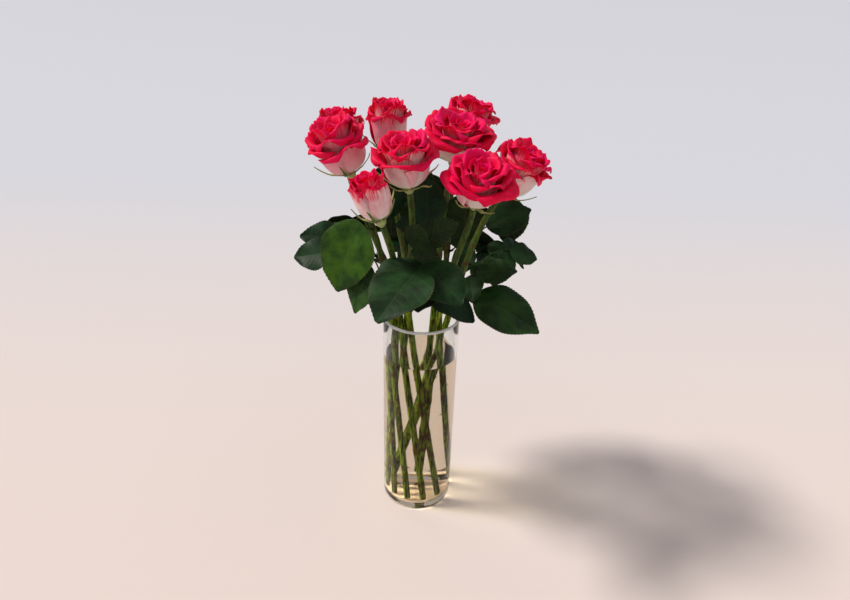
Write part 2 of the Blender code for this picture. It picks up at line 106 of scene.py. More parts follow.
# hip: its place in bloom widths from the centre of the mouth. faces: the way the bloom faces.
# mouth and foot: where the stem is there, as (azimuth in degrees, share of the free radius).
# bloom: its width and height in bloom widths. opening: from 0, shut, to 1, open. turn: in degrees.
Rose = namedtuple("Rose", "name hip faces mouth foot bloom opening turn")
ROSES = (
    Rose("rose_left", (-1.13, -0.02, 2.38), (-0.34, -0.24, 0.91),
         (186, 0.93), (252, 0.93), (1.00, 0.84), 0.9, 0),
    Rose("rose_back_left", (-0.60, 0.82, 2.53), (-0.03, -0.06, 1.00),
         (128, 0.75), (196, 0.95), (0.74, 0.82), 0.6, 20),
    Rose("rose_front", (-0.23, -0.64, 2.35), (-0.15, -0.22, 0.96),
         (247, 0.85), (316, 0.95), (0.98, 0.74), 0.9, 22),
    Rose("rose_bud_front", (-0.60, -1.12, 2.02), (-0.34, -0.10, 0.93),
         (222, 0.85), (284, 0.95), (0.58, 0.62), 0.25, 10),
    Rose("rose_centre", (0.42, 0.24, 2.55), (0.14, -0.28, 0.95),
         (18, 0.40), (88, 0.90), (1.20, 0.70), 1.0, 55),
    Rose("rose_back_right", (0.60, 1.12, 2.66), (0.26, -0.08, 0.95),
         (48, 0.90), (128, 0.90), (0.96, 0.72), 0.8, 15),
    Rose("rose_front_right", (0.70, -0.71, 2.16), (0.08, -0.42, 0.90),
         (310, 0.85), (12, 0.95), (1.06, 0.72), 1.0, 30),
    Rose("rose_right", (1.18, -0.06, 2.15), (0.48, -0.18, 0.86),
         (348, 0.85), (160, 0.80), (1.00, 0.80), 0.8, 5),
    Rose("rose_bud_back", (-1.33, 0.95, 2.42), (-0.15, 0.02, 0.99),
         (158, 0.93), (222, 0.95), (0.84, 0.76), 0.6, 25),
)

# start: height on its stem where the stalk grows. joint and tip: the ends of the end leaflet. All are
# in bloom widths from the mouth. pairs: of side leaflets. roll: of the leaflets, in degrees.
# shine: how yellow-green the leaf is, from 0, old and dark, to 1, young and light. Its high values, as on
# leaf_left_bright and leaf_left_low, are also a painted glow of a leaf lit from behind.
Leaf = namedtuple("Leaf", "name rose start joint tip pairs roll shine")
LEAVES = (
    Leaf("leaf_left", "rose_left", 0.95, (-1.40, -0.16, 1.12), (-2.05, -0.14, 1.02), 1, -45, 0.2),
    Leaf("leaf_left_back", "rose_bud_back", 0.75, (-1.30, 0.30, 1.18), (-1.98, 0.22, 1.30), 2, -40, 0.1),
    Leaf("leaf_left_bright", "rose_left", 1.45, (-0.98, -0.46, 1.76), (-1.30, -0.74, 0.70), 0, -22, 0.9),
    Leaf("leaf_left_low", "rose_left", 0.50, (-0.80, -0.54, 1.10), (-1.08, -0.82, 0.44), 0, 0, 0.6),
    Leaf("leaf_front_left", "rose_front", 0.70, (-0.04, -1.26, 1.36), (-0.56, -2.16, 1.10), 1, 0, 0.2),
    Leaf("leaf_front_top", "rose_front", 1.10, (-0.06, -1.00, 1.62), (0.46, -0.86, 1.92), 1, -75, 0.4),
    Leaf("leaf_front", "rose_front", 0.30, (0.08, -0.84, 0.90), (0.78, -1.24, 0.62), 1, 0, 0.1),
    Leaf("leaf_front_right", "rose_front_right", 0.40, (0.78, -0.80, 0.76), (1.73, -1.25, 0.52), 0, 20, 0.4),
    Leaf("leaf_right_front", "rose_right", 0.55, (0.80, -0.60, 1.02), (1.38, -0.66, 1.18), 1, 30, 0.3),
    Leaf("leaf_right", "rose_right", 0.95, (1.34, -0.10, 1.22), (1.82, -0.06, 1.08), 2, 35, 0.2),
    Leaf("leaf_right_top", "rose_right", 1.25, (1.00, 0.30, 1.46), (1.68, 0.34, 1.80), 0, 45, 0.2),
    Leaf("leaf_right_back", "rose_back_right", 0.50, (1.24, 0.74, 1.00), (1.34, 1.02, 0.16), 2, 0, 0.1),
    Leaf("leaf_centre", "rose_centre", 1.00, (0.06, 0.06, 1.50), (0.03, 0.14, 2.26), 1, 0, 0.1),
    Leaf("leaf_centre_left", "rose_back_left", 0.60, (-0.62, 0.34, 1.50), (-0.70, 0.54, 2.34), 0, 0, 0.1),
    Leaf("leaf_centre_right", "rose_back_right", 0.90, (0.66, 0.38, 1.26), (0.66, 0.26, 2.08), 0, -15, 0.1),
    Leaf("leaf_middle", "rose_centre", 0.45, (0.62, 0.36, 0.62), (0.74, 0.50, 1.16), 0, 0, 0.2),
    Leaf("leaf_back", "rose_back_left", 1.20, (-0.60, 1.46, 1.62), (-0.62, 1.72, 0.76), 2, 0, 0.1),
    Leaf("leaf_back_left", "rose_bud_back", 0.80, (-1.28, 1.08, 1.24), (-1.34, 1.34, 0.40), 2, 0, 0.1),
    Leaf("leaf_back_right", "rose_back_right", 1.00, (0.70, 1.46, 1.40), (0.70, 1.72, 0.52), 2, 0, 0.1),
    Leaf("leaf_back_low", "rose_back_left", 0.50, (-0.10, 1.10, 0.96), (-0.10, 1.38, 0.10), 2, 0, 0.1),
    Leaf("leaf_back_middle", "rose_back_right", 1.60, (0.08, 1.06, 2.10), (0.08, 1.24, 1.40), 0, 0, 0.1),
    Leaf("leaf_right_far", "rose_back_right", 1.80, (1.36, 0.80, 1.86), (1.48, 1.00, 0.98), 0, 0, 0.2),
)

# outline of a cup, as shares of half its width and of its height
CUP_BUD = ((0.78, 0.16), (1.00, 0.42), (0.92, 0.72), (0.90, 0.90))
CUP_OPEN = ((0.54, 0.12), (0.72, 0.36), (0.82, 0.60), (1.00, 0.80))


# ---- Numbers ----
def mix(a, b, share):
    return a + (b - a) * share


def smooth(low, high, x):
    """0 below low, 1 above high, and a soft step between."""
    t = np.clip((x - low) / (high - low), 0, 1)
    return t * t * (3 - 2 * t)


def unit(v):
    return v / np.linalg.norm(v, axis=-1, keepdims=True)


def polar(azimuth, radius, height):
    turn = math.radians(azimuth)
    return Vector((radius * math.cos(turn), radius * math.sin(turn), height))


def hermite(start, leaving, end, arriving, s):
    return (
        start * (2 * s**3 - 3 * s**2 + 1)
        + leaving * (s**3 - 2 * s**2 + s)
        + end * (3 * s**2 - 2 * s**3)
        + arriving * (s**3 - s**2)
    )


def spline(points, steps):
    """A Catmull-Rom curve through the points, as an array of steps + 1 rows."""
    p = np.array(points, float)
    p = np.vstack([2 * p[0] - p[1], p, 2 * p[-1] - p[-2]])
    found = []
    for t in np.linspace(0, len(points) - 1 - 1e-9, steps + 1):
        i, f = int(t), t - int(t)
        a, b, c, d = p[i : i + 4]
        found.append(
            0.5 * (2 * b + (c - a) * f + (2 * a - 5 * b + 4 * c - d) * f**2 + (3 * b - a - 3 * c + d) * f**3)
        )
    return np.array(found)


def in_bouquet(place):
    return Vector(place) * BLOOM + MOUTH


# ---- Meshes gathered shell by shell ----
class Gathered:
    """The points, faces and per-point numbers of one mesh."""

    NUMBERS = ("across", "along", "side", "tone")

    def __init__(self):
        self.points, self.faces, self.numbers, self.count = [], [], [], 0

    def add(self, points, faces, across=0.0, along=0.0, side=0.0, tone=0.0):
        n = len(points)
        self.points.append(points)
        self.faces += [tuple(i + self.count for i in face) for face in faces]
        self.numbers.append(np.stack([np.broadcast_to(v, n) for v in (across, along, side, tone)], 1))
        self.count += n

    def shell(self, grid, thickness, across, along, tone):
        """A closed sheet with grid as its middle. Its upper face looks along d(row) x d(column)."""
        rows, columns = grid.shape[:2]
        normal = unit(np.cross(np.gradient(grid, axis=0), np.gradient(grid, axis=1)) + 1e-15)
        half = normal * (thickness / 2)
        n = rows * columns
        points = np.vstack([(grid + half).reshape(-1, 3), (grid - half).reshape(-1, 3)])
        index = np.arange(n).reshape(rows, columns)
        a, b, c, d = index[:-1, :-1], index[:-1, 1:], index[1:, 1:], index[1:, :-1]
        quads = np.stack([a, d, c, b], -1).reshape(-1, 4)
        faces = [tuple(q) for q in quads.tolist()] + [tuple(q[::-1]) for q in (quads + n).tolist()]
        rim = np.concatenate([index[0, :-1], index[:-1, -1], index[-1, :0:-1], index[:0:-1, 0]]).tolist()
        faces += [(i, j, j + n, i + n) for i, j in zip(rim, rim[1:] + rim[:1])]
        self.add(
            points,
            faces,
            across=np.tile(across.reshape(-1), 2),
            along=np.tile(along.reshape(-1), 2),
            side=np.repeat((0.0, 1.0), n),
            tone=tone,
        )

    def tube(self, centres, radii, sides=14, along=None, tone=0.0, side=0.0):
        """A closed round bar. radii has one value for each ring, or one for each point of each ring."""
        centres = np.array(centres, float)
        rings = len(centres)
        ahead = unit(np.gradient(centres, axis=0))
        start = np.cross(ahead[0], (0.3, 0.9, 0.1))
        frames = []
        for i in range(rings):
            start = unit(start - ahead[i] * np.dot(start, ahead[i]))
            frames.append((start, np.cross(ahead[i], start)))
        turn = np.linspace(0, 2 * math.pi, sides, endpoint=False)
        radii = np.broadcast_to(np.array(radii, float).reshape(rings, -1), (rings, sides))
        e1 = np.array([f[0] for f in frames])[:, None]
        e2 = np.array([f[1] for f in frames])[:, None]
        around = e1 * np.cos(turn)[None, :, None] + e2 * np.sin(turn)[None, :, None]
        points = (centres[:, None] + around * radii[..., None]).reshape(-1, 3)
        faces = []
        for i in range(rings - 1):
            for j in range(sides):
                k = (j + 1) % sides
                faces.append((i * sides + j, i * sides + k, (i + 1) * sides + k, (i + 1) * sides + j))
        foot, top = rings * sides, rings * sides + 1
        for j in range(sides):
            k = (j + 1) % sides
            faces.append((foot, k, j))
            faces.append((top, (rings - 1) * sides + j, (rings - 1) * sides + k))
        points = np.vstack([points, centres[:1], centres[-1:]])
        line = np.linspace(0, 1, rings) if along is None else np.array(along, float)
        line = np.concatenate([np.repeat(line, sides), line[:1], line[-1:]])
        across = np.concatenate([np.tile(np.cos(turn), rings), [0, 0]])
        if np.ndim(tone):
            tone = np.concatenate([np.repeat(tone, sides), tone[:1], tone[-1:]])
        self.add(points, faces, across=across, along=line, side=side, tone=tone)

    def piece(self, name, material, nodes, slot, place=None, crease=50):
        """The gathered mesh as an object that stands for these CAD nodes."""
        mesh = bpy.data.meshes.new(name)
        mesh.from_pydata(np.vstack(self.points).tolist(), [], self.faces)
        numbers = np.vstack(self.numbers)
        for i, key in enumerate(self.NUMBERS):
            mesh.attributes.new(key, "FLOAT", "POINT").data.foreach_set("value", numbers[:, i])
        if place is not None:
            mesh.transform(place)
        mesh.validate()
        mesh.shade_smooth()
        mesh.set_sharp_from_angle(angle=math.radians(crease))
        mesh.materials.append(material)
        made = bpy.data.objects.new(name, mesh)
        bpy.context.scene.collection.objects.link(made)
        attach(made, "root")
        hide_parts(*nodes)
        return made


# ---- Materials ----
class Nodes:
    """A short way to write a material's node tree."""

    def __init__(self, name):
        self.material = bpy.data.materials.new(name)
        self.material.use_nodes = True
        self.tree = self.material.node_tree
        self.shader = self.tree.nodes["Principled BSDF"]
        self.output = self.tree.nodes["Material Output"]

    def add(self, kind, inputs=(), **settings):
        node = self.tree.nodes.new(kind)
        for key, value in settings.items():
            setattr(node, key, value)
        for key, value in dict(inputs).items():
            self.put(node.inputs[key], value)
        return node

    def put(self, socket, value):
        if isinstance(value, bpy.types.NodeSocket):
            self.tree.links.new(value, socket)
        else:
            socket.default_value = value

    def number(self, name):
        return self.add("ShaderNodeAttribute", attribute_name=name).outputs["Fac"]

    def math(self, operation, a, b=0.0, c=0.0):
        return self.add("ShaderNodeMath", {0: a, 1: b, 2: c}, operation=operation).outputs[0]

    def step(self, value, low, high, start=0.0, end=1.0):
        node = self.add(
            "ShaderNodeMapRange",
            {"Value": value, "From Min": low, "From Max": high, "To Min": start, "To Max": end},
            interpolation_type="SMOOTHSTEP",
        )
        return node.outputs["Result"]

    def noise(self, scale, detail=4.0, roughness=0.55, vector=None, distortion=0.0):
        inputs = {"Scale": scale, "Detail": detail, "Roughness": roughness, "Distortion": distortion}
        inputs["Vector"] = vector if vector is not None else self.place()
        return self.add("ShaderNodeTexNoise", inputs).outputs["Fac"]

    def place(self):
        return self.add("ShaderNodeTexCoord").outputs["Object"]

    def colour(self, share, a, b, blend="MIX"):
        node = self.add("ShaderNodeMix", data_type="RGBA", blend_type=blend)
        self.put(node.inputs[0], share)
        self.put(node.inputs[6], a)
        self.put(node.inputs[7], b)
        return node.outputs[2]

    def bump(self, height, strength, distance, after=None):
        inputs = {"Height": height, "Strength": strength, "Distance": distance}
        if after is not None:
            inputs["Normal"] = after
        return self.add("ShaderNodeBump", inputs).outputs["Normal"]

    def set(self, **values):
        for key, value in values.items():
            self.put(self.shader.inputs[key.replace("_", " ")], value)


def rgb(red, green, blue):
    """A linear colour from its 0 to 255 values."""
    shares = [v / 255 for v in (red, green, blue)]
    return (*(v / 12.92 if v <= 0.04 else ((v + 0.055) / 1.055) ** 2.4 for v in shares), 1.0)


def petal_material():
    """Crimson pink inside, cream to pale pink outside with a crimson margin, and fine veins."""
    n = Nodes("petal_look")
    across, along = n.number("across"), n.number("along")
    side, tone = n.number("side"), n.number("tone")
    spread, own = n.math("MULTIPLY", across, 9.0), n.math("MULTIPLY", tone, 40.0)
    fan = n.add("ShaderNodeCombineXYZ", {0: spread, 1: along, 2: own})
    veins = n.noise(3.2, 5.0, 0.6, fan.outputs[0], 0.3)
    blotch = n.noise(70.0, 4.0)
    inside = n.colour(n.step(veins, 0.30, 0.75), rgb(230, 0, 44), rgb(252, 0, 88))
    inside = n.colour(n.step(tone, 0.2, 0.9, 0.0, 0.5), inside, rgb(236, 0, 118))
    inside = n.colour(n.step(along, 0.05, 0.50, 0.95, 0.0), inside, rgb(252, 120, 150))
    back = n.colour(n.step(along, 0.08, 0.45), rgb(255, 246, 226), rgb(255, 218, 214))
    back = n.colour(n.step(tone, 0.25, 0.65, 0.0, 0.85), back, rgb(255, 96, 138))
    flush = n.math("ADD", n.step(veins, 0.44, 0.66, 0.0, 0.4), n.step(blotch, 0.46, 0.70, 0.0, 0.5))
    flush = n.math("MULTIPLY", flush, n.step(along, 0.25, 0.72, 0.06, 1.0))
    back = n.colour(flush, back, rgb(240, 70, 118))
    corner = n.math("MULTIPLY", n.math("POWER", n.math("ABSOLUTE", across), 4.0), n.step(along, 0.3, 0.8))
    edge = n.math("MAXIMUM", along, corner)
    edge = n.math("ADD", edge, n.math("MULTIPLY", n.math("SUBTRACT", veins, 0.5), 1.0))
    back = n.colour(n.step(edge, 0.66, 0.88), back, rgb(240, 2, 70))
    n.set(Base_Color=n.colour(side, inside, back), Roughness=n.step(veins, 0.2, 0.8, 0.45, 0.6))
    n.set(Sheen_Weight=0.08, Sheen_Roughness=0.4, Sheen_Tint=rgb(255, 100, 160))
    n.set(Subsurface_Weight=0.4, Subsurface_Scale=0.0016, Subsurface_Radius=(1.0, 0.35, 0.4))
    n.set(Specular_IOR_Level=0.14)
    fine = n.noise(2600.0, 2.0)
    n.set(Normal=n.bump(fine, 0.15, 0.00006, n.bump(veins, 0.35, 0.0004)))
    return n.material


def leaf_material():
    """Waxy dark green above, olive and matt below, with a midrib, side veins and a fine net. The
    yellow-green of young leaves also serves as a painted glow on leaves lit from behind.
    """
    n = Nodes("leaf_look")
    across, along = n.number("across"), n.number("along")
    side, tone = n.number("side"), n.number("tone")
    away = n.math("ABSOLUTE", across)
    wander = n.math("MULTIPLY", n.math("SUBTRACT", n.noise(120.0, 2.0), 0.5), 0.06)
    phase = n.math("SUBTRACT", along, n.math("MULTIPLY", n.math("POWER", away, 1.25), VEIN_SLANT))
    phase = n.math("ADD", n.math("MULTIPLY", n.math("ADD", phase, wander), float(SIDE_VEINS)), 20.0)
    stripe = n.math("ABSOLUTE", n.math("SUBTRACT", n.math("FRACT", phase), 0.5))
    vein = n.math("SUBTRACT", 1.0, n.step(stripe, 0.0, 0.075))
    midrib = n.math("SUBTRACT", 1.0, n.step(away, 0.015, 0.06))
    vein = n.math("MAXIMUM", midrib, n.math("MULTIPLY", vein, 0.75))
    cells = n.add("ShaderNodeTexVoronoi", {"Vector": n.place(), "Scale": 620.0}, feature="DISTANCE_TO_EDGE")
    net = n.math("SUBTRACT", 1.0, n.step(cells.outputs[0], 0.0, 0.16))
    patch = n.noise(60.0, 5.0)
    dark = n.colour(n.step(patch, 0.3, 0.75), rgb(5, 28, 14), rgb(14, 54, 32))
    # the yellow-green of young leaves, used also as a painted glow on leaves lit from behind
    young_and_backlit_green = n.colour(n.step(patch, 0.3, 0.75), rgb(18, 52, 2), rgb(62, 98, 6))
    upper = n.colour(tone, dark, young_and_backlit_green)
    upper = n.colour(n.math("MULTIPLY", vein, 0.10), upper, rgb(86, 120, 62))
    upper = n.colour(n.math("MULTIPLY", net, 0.08), upper, rgb(70, 100, 56))
    rim = n.math("MULTIPLY", n.step(away, 0.93, 1.0), 0.16)
    upper = n.colour(rim, upper, rgb(110, 86, 50))
    lower = n.colour(n.step(patch, 0.3, 0.75), rgb(26, 42, 18), rgb(44, 62, 28))
    lower = n.colour(n.math("MULTIPLY", vein, 0.3), lower, rgb(104, 116, 70))
    n.set(Base_Color=n.colour(side, upper, lower))
    gloss = n.step(patch, 0.2, 0.8, 0.42, 0.58)
    n.set(Roughness=n.math("ADD", gloss, n.math("MULTIPLY", side, 0.25)))
    n.set(Specular_IOR_Level=0.16)
    raised = n.math("ADD", vein, n.math("MULTIPLY", net, 0.25))
    raised = n.math("MULTIPLY", raised, n.step(side, 0.4, 0.6, -1.0, 1.0))
    n.set(Normal=n.bump(n.noise(1500.0, 2.0), 0.12, 0.0001, n.bump(raised, 0.28, 0.0003)))
    return n.material


def stem_material(name="stem_look"):
    """Smooth green bark, brown and yellow in patches, darker low down. Under the water line its lengthwise
    streaks are painted light: bright yellow-green lit strips beside near-black painted shade.
    """
    n = Nodes(name)
    along, tone = n.number("along"), n.number("tone")
    long_way = n.add("ShaderNodeMapping", {"Vector": n.place(), "Scale": (1.0, 1.0, 0.06)}).outputs[0]
    streak = n.noise(520.0, 4.0, 0.6, long_way)
    patch = n.noise(64.0, 5.0, 0.65)
    green = n.colour(n.step(streak, 0.3, 0.7), rgb(38, 62, 10), rgb(88, 112, 30))
    # painted light under the water: lengthwise lit strips of bright yellow-green beside near-black painted
    # shade
    underwater_lit_and_shaded = n.colour(n.step(streak, 0.36, 0.64), rgb(24, 44, 8), rgb(146, 172, 46))
    green = n.colour(n.step(along, 0.50, 0.40), green, underwater_lit_and_shaded)
    brown = n.math("MULTIPLY", n.step(patch, 0.50, 0.64), n.step(along, 0.55, 0.35, 0.55, 0.85))
    green = n.colour(brown, green, rgb(82, 56, 18))
    green = n.colour(n.step(tone, 0.1, 0.4, 0.0, 0.8), green, rgb(84, 60, 22))
    shown = n.colour(n.step(tone, 0.5, 1.0), green, rgb(120, 60, 40))
    shown = n.colour(n.step(n.noise(900.0, 2.0), 0.68, 0.78, 0.0, 0.5), shown, rgb(70, 56, 34))
    n.set(Base_Color=shown, Roughness=n.step(streak, 0.2, 0.8, 0.36, 0.55))
    n.set(Specular_IOR_Level=n.step(along, 0.40, 0.50, 0.02, 0.30))
    n.set(Normal=n.bump(streak, 0.6, 0.0006, n.bump(patch, 0.4, 0.0010)))
    return n.material


def sepal_material():
    """Soft green, yellower inside and reddish along the edges."""
    n = Nodes("sepal_look")
    across, along, side = n.number("across"), n.number("along"), n.number("side")
    patch = n.noise(160.0, 4.0)
    outer = n.colour(n.step(patch, 0.3, 0.7), rgb(70, 98, 36), rgb(120, 142, 62))
    outer = n.colour(n.step(n.math("ABSOLUTE", across), 0.7, 1.0, 0.0, 0.5), outer, rgb(140, 84, 52))
    inner = n.colour(n.step(patch, 0.3, 0.7), rgb(150, 166, 96), rgb(178, 188, 124))
    shown = n.colour(side, inner, outer)
    shown = n.colour(n.step(along, 0.7, 1.0, 0.0, 0.4), shown, rgb(126, 110, 50))
    n.set(Base_Color=shown, Roughness=n.step(patch, 0.2, 0.8, 0.5, 0.65), Specular_IOR_Level=0.35)
    n.set(Normal=n.bump(n.noise(900.0, 3.0), 0.3, 0.0002))
    return n.material


def clear_material(name, tint, shade, ior, mirror, painted_rim_highlight_above=1.0):
    """Clear glass or water. Lamps pass it, in the shade's colour, and light what it holds.

    mirror is how strongly it reflects straight ahead, as a share of what its index gives. Above the
    last argument's height, as on the vase's rim, it is matt and partly white: a painted highlight along the
    rim.
    """
    n = Nodes(name)
    height = n.add("ShaderNodeSeparateXYZ", {0: n.place()}).outputs["Z"]
    below = painted_rim_highlight_above - 0.0004
    # above that height it turns matt and half opaque white: a painted highlight along the rim
    rough = n.step(height, below, painted_rim_highlight_above, 0.0, 0.55)
    shine = n.step(height, below, painted_rim_highlight_above, mirror, 1.0)
    clear = n.step(height, below, painted_rim_highlight_above, 1.0, 0.5)
    n.set(Base_Color=tint, Roughness=rough, IOR=ior, Transmission_Weight=clear, Specular_Tint=shine)
    path = n.add("ShaderNodeLightPath").outputs["Is Shadow Ray"]
    passed = n.add("ShaderNodeBsdfTransparent", {"Color": shade})
    both = n.add("ShaderNodeMixShader", {0: path, 1: n.shader.outputs[0], 2: passed.outputs[0]})
    n.put(n.output.inputs["Surface"], both.outputs[0])
    return n.material


# ---- The vase and its water ----
def turned(build, profile, sides, tone=0.0):
    """A closed turned solid. The profile runs from the axis to the axis, as (radius, height)."""
    profile = np.array(profile, float)
    turn = np.linspace(0, 2 * math.pi, sides, endpoint=False)
    inner = profile[1:-1]
    points = np.stack(
        [inner[:, :1] * np.cos(turn), inner[:, :1] * np.sin(turn), np.repeat(inner[:, 1:], sides, 1)], -1
    ).reshape(-1, 3)
    faces = []
    rings = len(inner)
    for i in range(rings - 1):
        for j in range(sides):
            k = (j + 1) % sides
            faces.append((i * sides + j, (i + 1) * sides + j, (i + 1) * sides + k, i * sides + k))
    first, last = rings * sides, rings * sides + 1
    for j in range(sides):
        k = (j + 1) % sides
        faces.append((first, j, k))
        faces.append((last, (rings - 1) * sides + k, (rings - 1) * sides + j))
    ends = [(0, 0, profile[0][1]), (0, 0, profile[-1][1])]
    build.add(np.vstack([points, ends]), faces, tone=tone)


def arc(centre, radius, start, end, steps):
    """Points on an arc in the profile's plane, angles in degrees from +radius towards +height."""
    angles = np.radians(np.linspace(start, end, steps + 1))
    return [(centre[0] + radius * math.cos(a), centre[1] + radius * math.sin(a)) for a in angles]


def vase():
    """Blown glass: thick floor with a soft inner corner, even wall and a fire-polished rim."""
    inner = VASE_RADIUS - VASE_WALL
    rim = VASE_WALL / 2
    soft = 0.005
    profile = [(0, VASE_FLOOR - 0.0008), (0.010, VASE_FLOOR - 0.0006), (0.022, VASE_FLOOR)]
    profile += arc((inner - soft, VASE_FLOOR + soft), soft, -90, 0, 8)
    profile += [(inner, z) for z in np.linspace(0.03, MOUTH.z - 0.02, 8)]
    profile += arc((VASE_RADIUS - rim, MOUTH.z - rim), rim, 180, 0, 10)
    profile += [(VASE_RADIUS, z) for z in np.linspace(MOUTH.z - 0.02, 0.03, 8)]
    profile += arc((VASE_RADIUS - FOOT_ROUND, FOOT_ROUND), FOOT_ROUND, 0, -90, 8)
    profile += [(VASE_RADIUS - 0.010, 0.0), (VASE_RADIUS - 0.013, 0.0009), (0.010, 0.0016), (0, 0.0016)]
    build = Gathered()
    turned(build, profile, VASE_SIDES)
    tint, shade = rgb(249, 252, 250), rgb(250, 252, 250)
    # the rim's top, above MOUTH.z - 2 * rim, is matt and partly white: a painted highlight
    glass = clear_material("glass_look", tint, shade, GLASS_BEND, 0.12, MOUTH.z - 2 * rim)
    return build.piece("vase_glass", glass, ["vase"], "glass", crease=40)


def water():
    """Water to its level, a hair into the glass so that no air shows between, with a meniscus."""
    radius = VASE_RADIUS - VASE_WALL + 0.0001
    soft = 0.005
    profile = [(0, VASE_FLOOR - 0.0009), (0.010, VASE_FLOOR - 0.0007), (0.022, VASE_FLOOR - 0.0001)]
    profile += arc((radius - soft, VASE_FLOOR - 0.0001 + soft), soft, -90, 0, 8)
    profile += [(radius, z) for z in np.linspace(0.03, WATER_LEVEL - 0.004, 6)]
    climb = [(radius, WATER_LEVEL + 0.0014)]
    climb += [(radius - 0.0028 * s, WATER_LEVEL + 0.0014 * (1 - s) ** 2.4) for s in np.linspace(0.1, 1, 7)]
    profile += climb + [(0, WATER_LEVEL)]
    build = Gathered()
    turned(build, profile[::-1], VASE_SIDES)
    clear = clear_material("water_look", rgb(232, 214, 196), rgb(250, 244, 232), WATER_BEND, 0.05)
    return build.piece("vase_water", clear, ["water"], "water", crease=40)


# ---- Stems ----
def hip_frame(rose):
    place = in_bouquet(rose.hip)
    turn = Vector(rose.faces).to_track_quat("Z", "Y").to_matrix().to_4x4()
    return Matrix.Translation(place) @ turn @ Matrix.Rotation(math.radians(rose.turn), 4, "Z")


def stem_points(rose):
    """The rings of the CAD stem."""
    free = VASE_RADIUS - VASE_WALL - STEM_RADIUS - 2 * CLEARANCE
    foot = polar(rose.foot[0], free * rose.foot[1], VASE_FLOOR + STEM_RADIUS)
    mouth = polar(rose.mouth[0], free * rose.mouth[1], MOUTH.z)
    frame_of_hip = hip_frame(rose)
    faces = frame_of_hip.to_3x3() @ Vector((0, 0, 1))
    top = frame_of_hip.translation - faces * (HIP_LENGTH + 2 * CLEARANCE)
    reach = (top - mouth).length
    leaving = (mouth - foot).normalized() * reach
    points = [foot.lerp(mouth, i / STEM_RINGS_IN_VASE) for i in range(STEM_RINGS_IN_VASE)]
    for i in range(STEM_RINGS_ABOVE + 1):
        points.append(hermite(mouth, leaving, top, faces.normalized() * reach, i / STEM_RINGS_ABOVE))
    return points


def stem_at(points, height):
    """(centre, direction, radius) of a stem at a height."""
    above = next(i for i, point in enumerate(points) if point.z > height)
    low, high = points[above - 1], points[above]
    centre = low.lerp(high, (height - low.z) / (high.z - low.z))
    radius = STEM_RADIUS * mix(1.0, STEM_TAPER, (above - 1) / (len(points) - 1))
    return centre, (high - low).normalized(), radius


def stem(rose, points, leaf_starts, material, chance):
    """One stem: swollen nodes, shallow ridges and a few thorns and scars."""
    line = spline([tuple(p) for p in points], STEM_STEPS)
    share = np.linspace(0, 1, len(line))
    radii = STEM_RADIUS * mix(1.0, STEM_TAPER, share) * 0.97
    wave = 0.02 * np.sin(share * 41 + chance.uniform(0, 6)) + 0.015 * np.sin(share * 97)
    heights = line[:, 2]
    nodes = [MOUTH.z + start * BLOOM for start in leaf_starts]
    nodes += [height + chance.uniform(-0.018, 0.018) for height in (0.045, 0.095, 0.145, 0.195)]
    scar = np.zeros(len(line))
    for height in nodes:
        wave = wave + 0.13 * np.exp(-(((heights - height) / 0.0035) ** 2))
        scar = np.maximum(scar, 0.45 * np.exp(-(((heights - height - 0.001) / 0.0022) ** 2)))
    turn = np.linspace(0, 2 * math.pi, 16, endpoint=False)
    ridges = 1 + 0.018 * np.cos(3 * turn + 1)[None] + 0.012 * np.cos(5 * turn)[None]
    build = Gathered()
    build.tube(line, (radii * (1 + wave))[:, None] * ridges, 16, along=share, tone=scar)
    for i in range(THORNS):
        height = mix(0.03, in_bouquet(rose.hip).z - 0.05, (i + chance.uniform(0.1, 0.9)) / THORNS)
        centre, along, radius = stem_at(points, height)
        out = Vector((math.cos(i * 2.4 + rose.turn), math.sin(i * 2.4 + rose.turn), 0))
        out = (out - along * out.dot(along)).normalized()
        thorn(build, centre + out * radius * 0.8, out, along, chance.uniform(0.0022, 0.0042))
    return build.piece(rose.name + "_stem_bark", material, [rose.name + "_stem"], "stem")


def thorn(build, base, out, along, length):
    """A small hooked thorn on a broad foot, pointing a little down."""
    steps = np.linspace(0, 1, 7)
    line = [base + out * length * s - along * length * 0.45 * s * s for s in steps]
    width = 0.0011 * (1 - steps) ** 1.3 + 0.00008
    build.tube([tuple(p) for p in line], width, 8, along=np.full(7, 0.6), tone=0.8)


# ---- Blooms ----
def turned_to(azimuth, far, cross, level):
    """Points at a distance from the bloom's axis and a height along it, cross to one side of the azimuth."""
    turn = math.radians(azimuth)
    x = far * math.cos(turn) - cross * math.sin(turn)
    y = far * math.sin(turn) + cross * math.cos(turn)
    return np.stack([x, y, level], -1)


